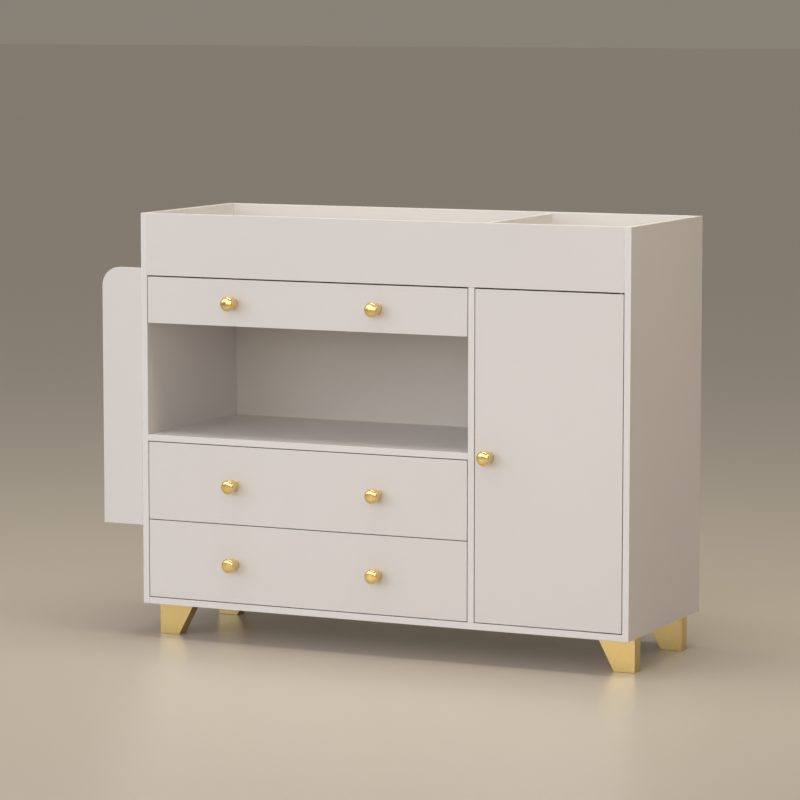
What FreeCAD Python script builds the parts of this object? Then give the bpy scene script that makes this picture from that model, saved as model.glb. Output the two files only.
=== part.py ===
import FreeCAD, Part
import os
import re
import Sketcher

# A nursery changing table: a board cabinet on four block legs. On top is a shallow tray with a
# divider. Below it, from the left: a drawer, an open niche and two deeper drawers in one bay,
# and a cupboard with an inset door in the other. An open shelf hangs on the left side.
#
# Places are measured from the front lower left corner of the cabinet: x to the right, y to the
# back and z up. Every piece is then shifted, so that the origin of the model is on the floor,
# under the middle of the whole object.

SIZES = {
    # cabinet
    "width": 1200,
    "depth": 440,
    "carcass_tall": 901,
    "board": 15,
    "back_board": 4,
    "gap": 2,
    "rail_gap": 3,
    "rail_tall": 142,
    "tray_deep": 110,
    "divider_shift": 6,
    "divider_sink": 4,
    "divider_drop": 4,
    "drawer_bay": 803,
    # legs
    "leg_tall": 80,
    "leg_thick": 34,
    "leg_foot": 50,
    "leg_head": 92,
    "leg_side_inset": 9,
    "leg_front_inset": 62,
    "leg_rear_inset": 54,
    "leg_bolt": 6,
    "leg_bolt_head": 12,
    "leg_bolt_head_tall": 3,
    "leg_bolt_grip": 30,
    "leg_bolt_edge": 18,
    "leg_bolt_pitch": 46,
    # drawers
    "top_front_tall": 106,
    "deep_front_tall": 178.5,
    "drawer_board": 12,
    "drawer_floor": 4,
    "floor_groove": 5,
    "floor_lift": 10,
    "box_lift": 10,
    "top_box_lift": 22,
    "top_box_drop": 10,
    "deep_box_drop": 28,
    "rear_room": 16,
    # telescopic runners
    "runner_thick": 12.7,
    "runner_tall": 45,
    "runner_steel": 1.2,
    "runner_setback": 5,
    "ball_room": 3,
    "runner_play": 1,
    # knobs
    "knob_reach": 36,
    "knob_round": 33,
    "knob_head_thick": 16,
    "knob_neck": 26,
    "knob_rose": 26.6,
    "knob_rose_thick": 2,
    "knob_spacing": 360,
    "knob_screw": 4,
    "knob_screw_grip": 13,
    "screw_head": 8,
    "screw_head_thick": 2.5,
    "door_knob_inset": 33,
    # door pivots
    "pivot_edge": 7,
    "pivot_face": 5,
    "pivot_pin": 4,
    "pivot_play": 0.1,
    "pivot_sink": 8,
    "plate_long": 38,
    "plate_wide": 8,
    "plate_thick": 2,
    "plate_end": 4,
    # magnetic catch
    "catch_thick": 12,
    "catch_tall": 28,
    "catch_deep": 34,
    "catch_below_top": 60,
    "catch_air": 1,
    # cupboard shelves
    "cupboard_shelf_low": 255,
    "cupboard_shelf_high": 505,
    "shelf_play": 1,
    "shelf_setback": 30,
    "shelf_pin": 5,
    "shelf_pin_hold": 10,
    "shelf_pin_reach": 8,
    "shelf_pin_inset": 45,
    # board joints
    "cam": 15,
    "cam_deep": 12,
    "cam_setback": 30,
    "cam_edge": 60,
    "cam_bolt": 6,
    "bolt_hold": 11,
    "dowel": 8,
    "dowel_hold": 10,
    "dowel_reach": 20,
    "dowel_edge": 30,
    # side shelf
    "side_wide": 102,
    "side_low": 182,
    "side_tall": 593,
    "side_round": 44,
    "side_pitch": 198,
    "side_edge": 4,
    "lip_thick": 10,
    "lip_tall": 50,
}

# Places that several pieces share, as formulas on the sizes.
LEFT_IN = "board"
RIGHT_IN = "(width - board)"
PART_LEFT = "(board + drawer_bay)"
PART_RIGHT = "(2 * board + drawer_bay)"
RAIL_LOW = "(carcass_tall - rail_tall)"
REAR_IN = "(depth - back_board)"
TRAY_TOP = "(carcass_tall - tray_deep)"
TRAY_LOW = "(carcass_tall - tray_deep - board)"
FRONT_TOP = "(carcass_tall - rail_tall - rail_gap)"
TOP_LOW = "(carcass_tall - rail_tall - rail_gap - top_front_tall)"
CEILING_TOP = f"({TOP_LOW} + board)"
DEEP_LOW = "(board + gap)"
MIDDLE_LOW = "(board + 2 * gap + deep_front_tall)"
SHELF_LOW = "(board + 3 * gap + 2 * deep_front_tall)"
SHELF_TOP = f"({SHELF_LOW} + board)"
BOX_REAR = f"({REAR_IN} - rear_room)"
BOX_LEFT = f"({LEFT_IN} + runner_thick)"
BOX_RIGHT = f"({PART_LEFT} - runner_thick)"
DOOR_LEFT = f"({PART_RIGHT} + gap)"
DOOR_RIGHT = f"({RIGHT_IN} - gap)"
PIVOT_X = f"({DOOR_RIGHT} - pivot_edge)"
DIVIDER_LEFT = f"({PART_LEFT} + divider_shift)"
DIVIDER_RIGHT = f"({DIVIDER_LEFT} + board)"
DIVIDER_LOW = f"({TRAY_TOP} - divider_sink)"

# Each drawer: its name, the lower and upper edges of its front, and the box inside them.
DRAWERS = [
    ("drawer_top", TOP_LOW, "top_front_tall", "top_box_lift", "top_box_drop"),
    ("drawer_middle", MIDDLE_LOW, "deep_front_tall", "box_lift", "deep_box_drop"),
    ("drawer_bottom", DEEP_LOW, "deep_front_tall", "box_lift", "deep_box_drop"),
]

PLANES = {"x": "YZ_Plane", "y": "XZ_Plane", "z": "XY_Plane"}

doc = FreeCAD.newDocument("changing_table")
sheet = doc.addObject("Spreadsheet::Sheet", "sizes")
pieces = []


def fill_sheet():
    """One row for each size: its name and its value."""
    for row, (name, size) in enumerate(SIZES.items(), start=1):
        sheet.set(f"A{row}", name)
        sheet.set(f"B{row}", str(size))
        sheet.setAlias(f"B{row}", name)
    doc.recompute()


def formula(text):
    """The text with each size in it pointed at its cell."""
    def cell(word):
        name = word.group()
        return f"sizes.{name}" if name in SIZES else name
    return re.sub(r"[a-z_]+", cell, text)


def number(text):
    """What a formula comes to now."""
    return float(sheet.evalExpression(formula(text)))


# ---- drawing and cutting ----

def shift_to_frame(item):
    """Move a finished piece from the cabinet's corner to the frame of the model."""
    item.setExpression("Placement.Base.x", formula("(side_wide - width) / 2"))
    item.setExpression("Placement.Base.y", formula("(knob_reach - depth) / 2"))
    item.setExpression("Placement.Base.z", formula("leg_tall"))


def new_body(label):
    """An empty body, on the list of pieces."""
    body = doc.addObject("PartDesign::Body", label)
    body.Label = label
    shift_to_frame(body)
    pieces.append(body)
    return body


def new_sketch(body, axis, place):
    """An empty sketch square to an axis, at a place along it."""
    plane = next(item for item in body.Origin.OriginFeatures if item.Role == PLANES[axis])
    sketch = body.newObject("Sketcher::SketchObject", "outline")
    sketch.AttachmentSupport = [(plane, "")]
    sketch.MapMode = "FlatFace"
    away = f"-({place})" if axis == "y" else place
    sketch.setExpression("AttachmentOffset.Base.z", formula(away))
    return sketch


def pin_point(sketch, line, end, point):
    """Hold one point of a sketch at two formulas."""
    for kind, text in zip(("DistanceX", "DistanceY"), point):
        index = sketch.addConstraint(Sketcher.Constraint(kind, -1, 1, line, end, number(text)))
        sketch.setExpression(f"Constraints[{index}]", formula(text))


def draw_outline(sketch, corners):
    """A closed outline with straight sides."""
    first = sketch.GeometryCount
    spots = [FreeCAD.Vector(number(a), number(b), 0) for a, b in corners]
    for start, end in zip(spots, spots[1:] + spots[:1]):
        sketch.addGeometry(Part.LineSegment(start, end))
    for place, point in enumerate(corners):
        line = first + place
        following = first + (place + 1) % len(corners)
        sketch.addConstraint(Sketcher.Constraint("Coincident", line, 2, following, 1))
        pin_point(sketch, line, 1, point)


def draw_box(sketch, low, high):
    """A rectangle between two corners."""
    draw_outline(sketch, [low, (high[0], low[1]), high, (low[0], high[1])])


def draw_circles(sketch, centres, diameter):
    """Equal circles."""
    for centre in centres:
        middle = FreeCAD.Vector(number(centre[0]), number(centre[1]), 0)
        ring = Part.Circle(middle, FreeCAD.Vector(0, 0, 1), number(diameter) / 2)
        line = sketch.addGeometry(ring)
        pin_point(sketch, line, 3, centre)
        size = sketch.addConstraint(Sketcher.Constraint("Diameter", line, number(diameter)))
        sketch.setExpression(f"Constraints[{size}]", formula(diameter))


def add_solid(body, axis, low, high, draw):
    """Material between two places along an axis; draw fills the sketch."""
    sketch = new_sketch(body, axis, high if axis == "y" else low)
    draw(sketch)
    pad = body.newObject("PartDesign::Pad", "pad")
    pad.Profile = sketch
    pad.setExpression("Length", formula(f"{high} - ({low})"))
    return pad


def cut_away(body, axis, low, high, draw):
    """A cut between two places along an axis; draw fills the sketch."""
    sketch = new_sketch(body, axis, low if axis == "y" else high)
    draw(sketch)
    pocket = body.newObject("PartDesign::Pocket", "pocket")
    pocket.Profile = sketch
    pocket.setExpression("Length", formula(f"{high} - ({low})"))
    return pocket


def board(label, x, y, z):
    """A square board between two places on each axis."""
    body = new_body(label)
    add_solid(body, "z", z[0], z[1], lambda sketch: draw_box(sketch, (x[0], y[0]), (x[1], y[1])))
    return body


def drill(body, axis, low, high, centres, diameter):
    """Equal holes between two places along an axis."""
    cut_away(body, axis, low, high, lambda sketch: draw_circles(sketch, centres, diameter))


def turn(label, axis, centres, steps):
    """Equal turned pieces, each of stepped cylinders: low place, high place, diameter."""
    body = new_body(label)
    for low, high, diameter in steps:
        add_solid(body, axis, low, high, lambda sketch: draw_circles(sketch, centres, diameter))
    return body


def group(label, items):
    """Several solids as one piece."""
    gathered = doc.addObject("Part::Compound", label)
    gathered.Label = label
    gathered.Links = items
    return gathered


# ---- joints between boards ----

def cam_points():
    """Each cam joint: which board it is in, the wall it pulls to and which way that lies."""
    rows = ["cam_edge", f"({REAR_IN} - cam_edge)"]
    joints = []
    for low in (SHELF_LOW, TOP_LOW):
        for y in rows:
            joints.append((low, LEFT_IN, -1, y))
            joints.append((low, PART_LEFT, 1, y))
    for low in ("0", TRAY_LOW):
        for y in rows:
            joints.append((low, LEFT_IN, -1, y))
            joints.append((low, RIGHT_IN, 1, y))
    return joints


def cam_centre(wall, way):
    """How far along x the middle of a cam lies."""
    return f"({wall} - {way} * cam_setback)"


def bore_for_cams(body, low):
    """Cam bores in a board's underside, and bolt holes in from its ends."""
    mine = [joint for joint in cam_points() if joint[0] == low]
    centres = [(cam_centre(wall, way), y) for _, wall, way, y in mine]
    drill(body, "z", low, f"{low} + cam_deep", centres, "cam")
    middle = f"({low} + board / 2)"
    for side in (-1, 1):
        ends = [joint for joint in mine if joint[2] == side]
        wall = ends[0][1]
        reach = sorted([wall, cam_centre(wall, side)], key=number)
        drill(body, "x", reach[0], reach[1], [(y, middle) for *_, y in ends], "cam_bolt")


def bore_for_bolts(body, wall, way):
    """Holes in an upright board for the bolts that come to one of its faces."""
    mine = [joint for joint in cam_points() if joint[1] == wall and joint[2] == way]
    reach = sorted([wall, f"({wall} + {way} * bolt_hold)"], key=number)
    centres = [(y, f"({low} + board / 2)") for low, _, _, y in mine]
    drill(body, "x", reach[0], reach[1], centres, "cam_bolt")


def make_cams():
    """The cams and the bolts that they grip."""
    cams = new_body("cam_locks")
    bolts = new_body("cam_bolts")
    for low in ("0", SHELF_LOW, TOP_LOW, TRAY_LOW):
        mine = [joint for joint in cam_points() if joint[0] == low]
        centres = [(cam_centre(wall, way), y) for _, wall, way, y in mine]
        add_solid(cams, "z", low, f"{low} + cam_deep",
                  lambda sketch: draw_circles(sketch, centres, "cam"))
    for wall, way in ((LEFT_IN, -1), (PART_LEFT, 1), (RIGHT_IN, 1)):
        mine = [joint for joint in cam_points() if joint[1] == wall and joint[2] == way]
        centres = [(y, f"({low} + board / 2)") for low, _, _, y in mine]
        grip = f"({wall} - {way} * (cam_setback - cam / 2))"
        reach = sorted([f"({wall} + {way} * bolt_hold)", grip], key=number)
        add_solid(bolts, "x", reach[0], reach[1],
                  lambda sketch: draw_circles(sketch, centres, "cam_bolt"))


def rail_dowels():
    """Where the dowels of both rails lie, seen along x."""
    heights = [f"({RAIL_LOW} + dowel_edge)", "(carcass_tall - dowel_edge)"]
    return [(y, z) for y in ("board / 2", "(depth - board / 2)") for z in heights]


def side_levels():
    """The underside of each board of the side shelf."""
    return [f"(side_low + {step} * side_pitch)" for step in range(3)]


def side_dowels():
    """Where the dowels of the side shelf lie, seen along x."""
    spots = []
    for low in side_levels():
        middle = f"({low} + board / 2)"
        spots += [("(board + cam_edge)", middle), ("(depth - board - cam_edge)", middle)]
    for y in ("board / 2", "(depth - board / 2)"):
        spots += [(y, "(side_low + 2 * dowel_edge)"), (y, "(side_low + side_tall - 2 * dowel_edge)")]
    return spots


def make_dowels():
    """Wooden dowels between the side panels and what butts on them."""
    turn("rail_dowels", "x", rail_dowels(), [("board - dowel_hold", "board + dowel_reach", "dowel")])
    body = pieces[-1]
    low = f"({RIGHT_IN} - dowel_reach)"
    high = f"({RIGHT_IN} + dowel_hold)"
    add_solid(body, "x", low, high, lambda sketch: draw_circles(sketch, rail_dowels(), "dowel"))
    turn("side_shelf_dowels", "x", side_dowels(), [("-dowel_reach", "dowel_hold", "dowel")])


# ---- cabinet ----

def pin_spots():
    """Where the pins of the cupboard shelves lie, seen along x."""
    rows = ["(shelf_setback + shelf_pin_inset)", f"({REAR_IN} - shelf_pin_inset)"]
    heights = ["(cupboard_shelf_low - shelf_pin / 2)", "(cupboard_shelf_high - shelf_pin / 2)"]
    return [(y, z) for y in rows for z in heights]


def make_side_panels():
    """The two uprights at the ends of the cabinet."""
    left = board("side_panel_left", ("0", LEFT_IN), ("0", "depth"), ("0", "carcass_tall"))
    bore_for_bolts(left, LEFT_IN, -1)
    drill(left, "x", "board - dowel_hold", "board", rail_dowels(), "dowel")
    drill(left, "x", "0", "dowel_hold", side_dowels(), "dowel")
    right = board("side_panel_right", (RIGHT_IN, "width"), ("0", "depth"), ("0", "carcass_tall"))
    bore_for_bolts(right, RIGHT_IN, 1)
    drill(right, "x", RIGHT_IN, f"{RIGHT_IN} + dowel_hold", rail_dowels(), "dowel")
    drill(right, "x", RIGHT_IN, f"{RIGHT_IN} + shelf_pin_hold", pin_spots(), "shelf_pin")


def make_partition():
    """The upright between the two bays, notched round both rails."""
    body = new_body("partition")
    rear_notch = "(depth - board)"
    outline = [("0", "board"), (REAR_IN, "board"), (REAR_IN, RAIL_LOW), (rear_notch, RAIL_LOW),
               (rear_notch, TRAY_LOW), ("board", TRAY_LOW), ("board", RAIL_LOW), ("0", RAIL_LOW)]
    add_solid(body, "x", PART_LEFT, PART_RIGHT, lambda sketch: draw_outline(sketch, outline))
    bore_for_bolts(body, PART_LEFT, 1)
    low = f"({PART_RIGHT} - shelf_pin_hold)"
    drill(body, "x", low, PART_RIGHT, pin_spots(), "shelf_pin")


def make_level_boards():
    """The bottom, the niche's floor and ceiling, and the tray's floor."""
    bottom = board("bottom_panel", (LEFT_IN, RIGHT_IN), ("0", REAR_IN), ("0", "board"))
    bore_for_cams(bottom, "0")
    drill(bottom, "z", "0", "board", leg_bolt_spots(), "leg_bolt")
    cut_plate_seat(bottom, "board - plate_thick", "board")
    drill(bottom, "z", "board - plate_thick - pivot_sink", "board - plate_thick",
          [(PIVOT_X, "pivot_face")], "pivot_pin + 4 * pivot_play")
    shelf = board("niche_shelf", (LEFT_IN, PART_LEFT), ("0", REAR_IN), (SHELF_LOW, SHELF_TOP))
    bore_for_cams(shelf, SHELF_LOW)
    front = "(board + gap)"
    ceiling = board("niche_ceiling", (LEFT_IN, PART_LEFT), (front, REAR_IN), (TOP_LOW, CEILING_TOP))
    bore_for_cams(ceiling, TOP_LOW)
    tray = board("tray_floor", (LEFT_IN, RIGHT_IN), ("board", "depth - board"), (TRAY_LOW, TRAY_TOP))
    bore_for_cams(tray, TRAY_LOW)
    groove = ((DIVIDER_LEFT, "board"), (DIVIDER_RIGHT, "depth - board"))
    cut_away(tray, "z", DIVIDER_LOW, TRAY_TOP, lambda sketch: draw_box(sketch, *groove))


def make_rails():
    """The walls of the tray that run across the cabinet, and its divider."""
    front = board("front_rail", (LEFT_IN, RIGHT_IN), ("0", "board"), (RAIL_LOW, "carcass_tall"))
    cut_plate_seat(front, RAIL_LOW, f"{RAIL_LOW} + plate_thick")
    drill(front, "z", f"{RAIL_LOW} + plate_thick", f"{RAIL_LOW} + plate_thick + pivot_sink",
          [(PIVOT_X, "pivot_face")], "pivot_pin + 4 * pivot_play")
    rear = board("back_rail", (LEFT_IN, RIGHT_IN), ("depth - board", "depth"),
                 (RAIL_LOW, "carcass_tall"))
    for rail, y in ((front, "board / 2"), (rear, "(depth - board / 2)")):
        mine = [spot for spot in rail_dowels() if spot[0] == y]
        drill(rail, "x", LEFT_IN, f"{LEFT_IN} + dowel_reach", mine, "dowel")
        drill(rail, "x", f"{RIGHT_IN} - dowel_reach", RIGHT_IN, mine, "dowel")
    board("tray_divider", (DIVIDER_LEFT, DIVIDER_RIGHT), ("board", "depth - board"),
          (DIVIDER_LOW, "carcass_tall - divider_drop"))


def make_back():
    """The thin sheet that closes both bays behind."""
    board("back_panel", (LEFT_IN, RIGHT_IN), (REAR_IN, "depth"), ("0", RAIL_LOW))


def make_cupboard_shelves():
    """Two loose shelves, each on four pins."""
    body = new_body("cupboard_shelves")
    corner = (f"{PART_RIGHT} + shelf_play", "shelf_setback")
    far = (f"{RIGHT_IN} - shelf_play", f"{REAR_IN} - shelf_play")
    for low in ("cupboard_shelf_low", "cupboard_shelf_high"):
        add_solid(body, "z", low, f"{low} + board", lambda sketch: draw_box(sketch, corner, far))
    turn("shelf_pins", "x", pin_spots(),
         [(f"{PART_RIGHT} - shelf_pin_hold", f"{PART_RIGHT} + shelf_pin_reach", "shelf_pin"),
          (f"{RIGHT_IN} - shelf_pin_reach", f"{RIGHT_IN} + shelf_pin_hold", "shelf_pin")])


# ---- legs ----

def leg_places():
    """Each leg: its name, its outer edge, which way it tapers, and its front face."""
    left = "leg_side_inset"
    right = "(width - leg_side_inset)"
    front = "leg_front_inset"
    rear = "(depth - leg_rear_inset - leg_thick)"
    return [("leg_front_left", left, 1, front), ("leg_front_right", right, -1, front),
            ("leg_rear_left", left, 1, rear), ("leg_rear_right", right, -1, rear)]


def leg_bolt_spots():
    """Where the bolts of all the legs lie, seen from above."""
    spots = []
    for _, edge, way, front in leg_places():
        for along in ("leg_bolt_edge", "(leg_bolt_edge + leg_bolt_pitch)"):
            spots.append((f"({edge} + {way} * {along})", f"({front} + leg_thick / 2)"))
    return spots


def make_legs():
    """Four tapered blocks: upright outside, slanted inside, and the bolts from above."""
    spots = leg_bolt_spots()
    for place, (label, edge, way, front) in enumerate(leg_places()):
        body = new_body(label)
        outline = [(edge, "-leg_tall"), (f"{edge} + {way} * leg_foot", "-leg_tall"),
                   (f"{edge} + {way} * leg_head", "0"), (edge, "0")]
        add_solid(body, "y", front, f"{front} + leg_thick",
                  lambda sketch: draw_outline(sketch, outline))
        drill(body, "z", "-leg_bolt_grip", "0", spots[2 * place:2 * place + 2], "leg_bolt")
    turn("leg_bolts", "z", spots, [("-leg_bolt_grip", "board", "leg_bolt"),
                                   ("board", "board + leg_bolt_head_tall", "leg_bolt_head")])


# ---- drawers ----

def runner_outline(wall, way, middle, web, lip, half):
    """One channel of a runner, seen from the front: its web and its two flanges."""
    inner = f"({web} + runner_steel)" if number(lip) > number(web) else f"({web} - runner_steel)"
    shape = [(web, half), (lip, half), (lip, f"({half} - runner_steel)"),
             (inner, f"({half} - runner_steel)")]
    upper = [(f"{wall} + {way} * {x}", f"{middle} + {z}") for x, z in shape]
    lower = [(f"{wall} + {way} * {x}", f"{middle} - {z}") for x, z in reversed(shape)]
    return upper + lower


def runner_middle(drawer):
    """The height of a drawer's runners: the middle of its box."""
    _, low, tall, lift, drop = drawer
    return f"({low} + ({tall} + {lift} - {drop}) / 2)"


def add_runners(body, drawer, web, lip, half):
    """A pair of channels, one at each wall of the bay."""
    middle = runner_middle(drawer)
    for wall, way in ((LEFT_IN, 1), (PART_LEFT, -1)):
        outline = runner_outline(wall, way, middle, web, lip, half)
        add_solid(body, "y", "board + runner_setback", BOX_REAR,
                  lambda sketch: draw_outline(sketch, outline))


def make_runners():
    """Three nested channels to a runner: on the cabinet, between, and on the drawer."""
    outer = "(runner_tall / 2)"
    between = f"({outer} - runner_steel - ball_room)"
    inner = f"({between} - runner_steel - ball_room)"
    between_web = "(runner_steel + runner_play)"
    inner_lip = "(2 * runner_steel + 2 * runner_play)"
    outer_lip = "(runner_thick - 3 * runner_steel)"
    between_lip = "(runner_thick - runner_steel - runner_play)"
    fixed = new_body("runner_cabinet_members")
    for drawer in DRAWERS:
        add_runners(fixed, drawer, "0", outer_lip, outer)
        add_runners(new_body(f"{drawer[0]}_runner_carriages"), drawer, between_web, between_lip,
                    between)
        add_runners(new_body(f"{drawer[0]}_runner_members"), drawer, "runner_thick", inner_lip,
                    inner)


def knob_spots(drawer):
    """Where a drawer's two knobs lie, seen from the front."""
    _, low, tall, _, _ = drawer
    middle = f"({LEFT_IN} + drawer_bay / 2)"
    height = f"({low} + {tall} / 2)"
    return [(f"({middle} - knob_spacing / 2)", height), (f"({middle} + knob_spacing / 2)", height)]


def make_drawer(drawer):
    """A front on a box of thin boards, with a floor let into grooves."""
    name, low, tall, lift, drop = drawer
    box_low = f"({low} + {lift})"
    box_high = f"({low} + {tall} - {drop})"
    floor = (f"({box_low} + floor_lift)", f"({box_low} + floor_lift + drawer_floor)")
    inside = (f"({BOX_LEFT} + drawer_board)", f"({BOX_RIGHT} - drawer_board)")
    grooved = (f"({inside[0]} - floor_groove)", f"({inside[1]} + floor_groove)")
    front = board(f"{name}_front", ("board + gap", f"{PART_LEFT} - gap"), ("0", "board"),
                  (low, f"{low} + {tall}"))
    cut_away(front, "y", "board - floor_groove", "board",
             lambda sketch: draw_box(sketch, (grooved[0], floor[0]), (grooved[1], floor[1])))
    drill(front, "y", "0", "board", knob_spots(drawer), "knob_screw")
    for side, x, groove in (("left", (BOX_LEFT, inside[0]), (grooved[0], inside[0])),
                            ("right", (inside[1], BOX_RIGHT), (inside[1], grooved[1]))):
        body = board(f"{name}_side_{side}", x, ("board", BOX_REAR), (box_low, box_high))
        cut_away(body, "y", "board", BOX_REAR,
                 lambda sketch: draw_box(sketch, (groove[0], floor[0]), (groove[1], floor[1])))
    board(f"{name}_back", inside, (f"{BOX_REAR} - drawer_board", BOX_REAR), (floor[1], box_high))
    board(f"{name}_bottom", grooved, ("board - floor_groove", BOX_REAR), floor)
    turn(f"{name}_knob_screws", "y", knob_spots(drawer),
         [("-knob_screw_grip", "board", "knob_screw"),
          ("board", "board + screw_head_thick", "screw_head")])


# ---- knobs ----

def along_y(kind, name, place, sizes):
    """A round solid with its axis along y, starting at a place on it."""
    item = doc.addObject(kind, name)
    for size, text in sizes.items():
        item.setExpression(size, formula(text))
    item.Placement.Rotation = FreeCAD.Rotation(FreeCAD.Vector(1, 0, 0), 90)
    item.setExpression("Placement.Base.y", formula(place))
    return item


def make_knob():
    """One turned knob, at the origin: a rose, a neck that widens, and a domed head."""
    rose = along_y("Part::Cylinder", "knob_rose", "0",
                   {"Radius": "knob_rose / 2", "Height": "knob_rose_thick"})
    neck = along_y("Part::Cone", "knob_neck", "0",
                   {"Radius1": "knob_neck / 2", "Radius2": "knob_round / 2",
                    "Height": "knob_reach - knob_head_thick / 2"})
    head = along_y("Part::Ellipsoid", "knob_head", "-(knob_reach - knob_head_thick / 2)",
                   {"Radius1": "knob_head_thick / 2", "Radius2": "knob_round / 2",
                    "Radius3": "knob_round / 2"})
    bore = along_y("Part::Cylinder", "knob_bore", "0",
                   {"Radius": "knob_screw / 2", "Height": "knob_screw_grip"})
    whole = doc.addObject("Part::MultiFuse", "knob_blank")
    whole.Shapes = [rose, neck, head]
    knob = doc.addObject("Part::Cut", "knob")
    knob.Base = whole
    knob.Tool = bore
    return knob


def place_knobs(label, knob, spots):
    """Copies of the knob on a front."""
    copies = []
    for x, z in spots:
        copy = group(f"{label}_copy", [knob])
        copy.setExpression("Placement.Base.x", formula(x))
        copy.setExpression("Placement.Base.z", formula(z))
        copies.append(copy)
    knobs = group(label, copies)
    shift_to_frame(knobs)
    pieces.append(knobs)


# ---- door ----

def plate_corners():
    """A pivot plate seen from above: two opposite corners."""
    low = (f"({PIVOT_X} - plate_long + plate_end)", "(pivot_face - plate_wide / 2)")
    high = (f"({PIVOT_X} + plate_end)", "(pivot_face + plate_wide / 2)")
    return low, high


def cut_plate_seat(body, low, high):
    """The recess that a pivot plate lies in."""
    cut_away(body, "z", low, high, lambda sketch: draw_box(sketch, *plate_corners()))


def add_plate(body, low, high):
    """A pivot plate's flat part."""
    add_solid(body, "z", low, high, lambda sketch: draw_box(sketch, *plate_corners()))


def make_door():
    """The inset door and its pivot plates: pins on the door, sockets in the cabinet."""
    door = board("door_panel", (DOOR_LEFT, DOOR_RIGHT), ("0", "board"), (DEEP_LOW, FRONT_TOP))
    drill(door, "y", "0", "board", door_knob_spot(), "knob_screw")
    cut_plate_seat(door, DEEP_LOW, f"{DEEP_LOW} + plate_thick")
    cut_plate_seat(door, f"{FRONT_TOP} - plate_thick", FRONT_TOP)
    turn("door_knob_screw", "y", door_knob_spot(),
         [("-knob_screw_grip", "board", "knob_screw"),
          ("board", "board + screw_head_thick", "screw_head")])
    centre = [(PIVOT_X, "pivot_face")]
    moving = new_body("door_pivot_plates")
    add_plate(moving, DEEP_LOW, f"{DEEP_LOW} + plate_thick")
    add_plate(moving, f"{FRONT_TOP} - plate_thick", FRONT_TOP)
    # Each pin stops a plate's thickness short of the end of its hole.
    for low, high in (("board - pivot_sink", DEEP_LOW), (FRONT_TOP, f"{RAIL_LOW} + pivot_sink")):
        add_solid(moving, "z", low, high, lambda sketch: draw_circles(sketch, centre, "pivot_pin"))
    fixed = new_body("cabinet_pivot_plates")
    levels = [("board - plate_thick", "board"), (RAIL_LOW, f"{RAIL_LOW} + plate_thick")]
    for low, high in levels:
        add_plate(fixed, low, high)
    for low, high in levels:
        drill(fixed, "z", low, high, centre, "pivot_pin + pivot_play")


def door_knob_spot():
    """Where the door's knob lies, seen from the front."""
    return [(f"({DOOR_LEFT} + door_knob_inset)", f"(({DEEP_LOW} + {FRONT_TOP}) / 2)")]


def make_catch():
    """A magnetic catch on the partition, just behind the door."""
    high = f"({FRONT_TOP} - catch_below_top)"
    board("door_catch", (PART_RIGHT, f"{PART_RIGHT} + catch_thick"),
          ("board + catch_air", "board + catch_air + catch_deep"), (f"{high} - catch_tall", high))


# ---- side shelf ----

def round_corner(body, x, z, radius):
    """Round the edge along y that stands at a place seen from the front."""
    base = body.Tip
    spot = FreeCAD.Vector(number(x), 0, number(z))
    for place, edge in enumerate(base.Shape.Edges, start=1):
        ends = [FreeCAD.Vector(vertex.X, 0, vertex.Z) for vertex in edge.Vertexes]
        if all(end.isEqual(spot, 0.01) for end in ends):
            fillet = body.newObject("PartDesign::Fillet", "rounding")
            fillet.Base = (base, [f"Edge{place}"])
            fillet.setExpression("Radius", formula(radius))


def make_side_shelf():
    """An open rack on the left: two end panels, three boards and a lip along each board."""
    high = "(side_low + side_tall)"
    outer = "(-side_wide)"
    ends = (("front", "0", "board"), ("rear", "(depth - board)", "depth"))
    for name, low_y, high_y in ends:
        panel = board(f"side_shelf_{name}_panel", (outer, "0"), (low_y, high_y), ("side_low", high))
        doc.recompute()
        round_corner(panel, outer, high, "side_round")
        mine = [spot for spot in side_dowels()[-4:] if number(low_y) < number(spot[0]) < number(high_y)]
        drill(panel, "x", "-dowel_reach", "0", mine, "dowel")
    boards = new_body("side_shelf_boards")
    lips = new_body("side_shelf_lips")
    lip = "(side_edge - side_wide)"
    edge = f"({lip} + lip_thick)"
    for low in side_levels():
        add_solid(boards, "z", low, f"{low} + board",
                  lambda sketch: draw_box(sketch, (edge, "board"), ("0", "depth - board")))
        add_solid(lips, "z", low, f"{low} + lip_tall",
                  lambda sketch: draw_box(sketch, (lip, "board"), (edge, "depth - board")))
    drill(boards, "x", "-dowel_reach", "0", side_dowels()[:-4], "dowel")


# ---- checking and writing ----

def check_document():
    """Stop at any feature that failed, and at any cut that removed nothing."""
    for item in doc.Objects:
        if {"Invalid", "Error"} & set(item.State):
            raise RuntimeError(f"{item.Label} ({item.Name}) is {item.State}")
        if item.TypeId == "PartDesign::Pocket":
            if item.Shape.Volume > item.BaseFeature.Shape.Volume - 1:
                raise RuntimeError(f"{item.Name} removes nothing")


def write_pieces():
    """Each piece to a file that has its name."""
    os.makedirs("parts", exist_ok=True)
    for piece in pieces:
        shape = piece.Shape
        if shape.isNull() or not shape.isValid() or not shape.Solids:
            raise RuntimeError(f"{piece.Label} has no sound shape")
        shape.exportStep(f"parts/{piece.Label}.step")
        box = shape.BoundBox
        print(f"{piece.Label}: {len(shape.Solids)} solids, {shape.Volume / 1000:.1f} cm3, "
              f"{box.XLength:.1f} x {box.YLength:.1f} x {box.ZLength:.1f}")
    print(len(pieces), "pieces")


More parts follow.
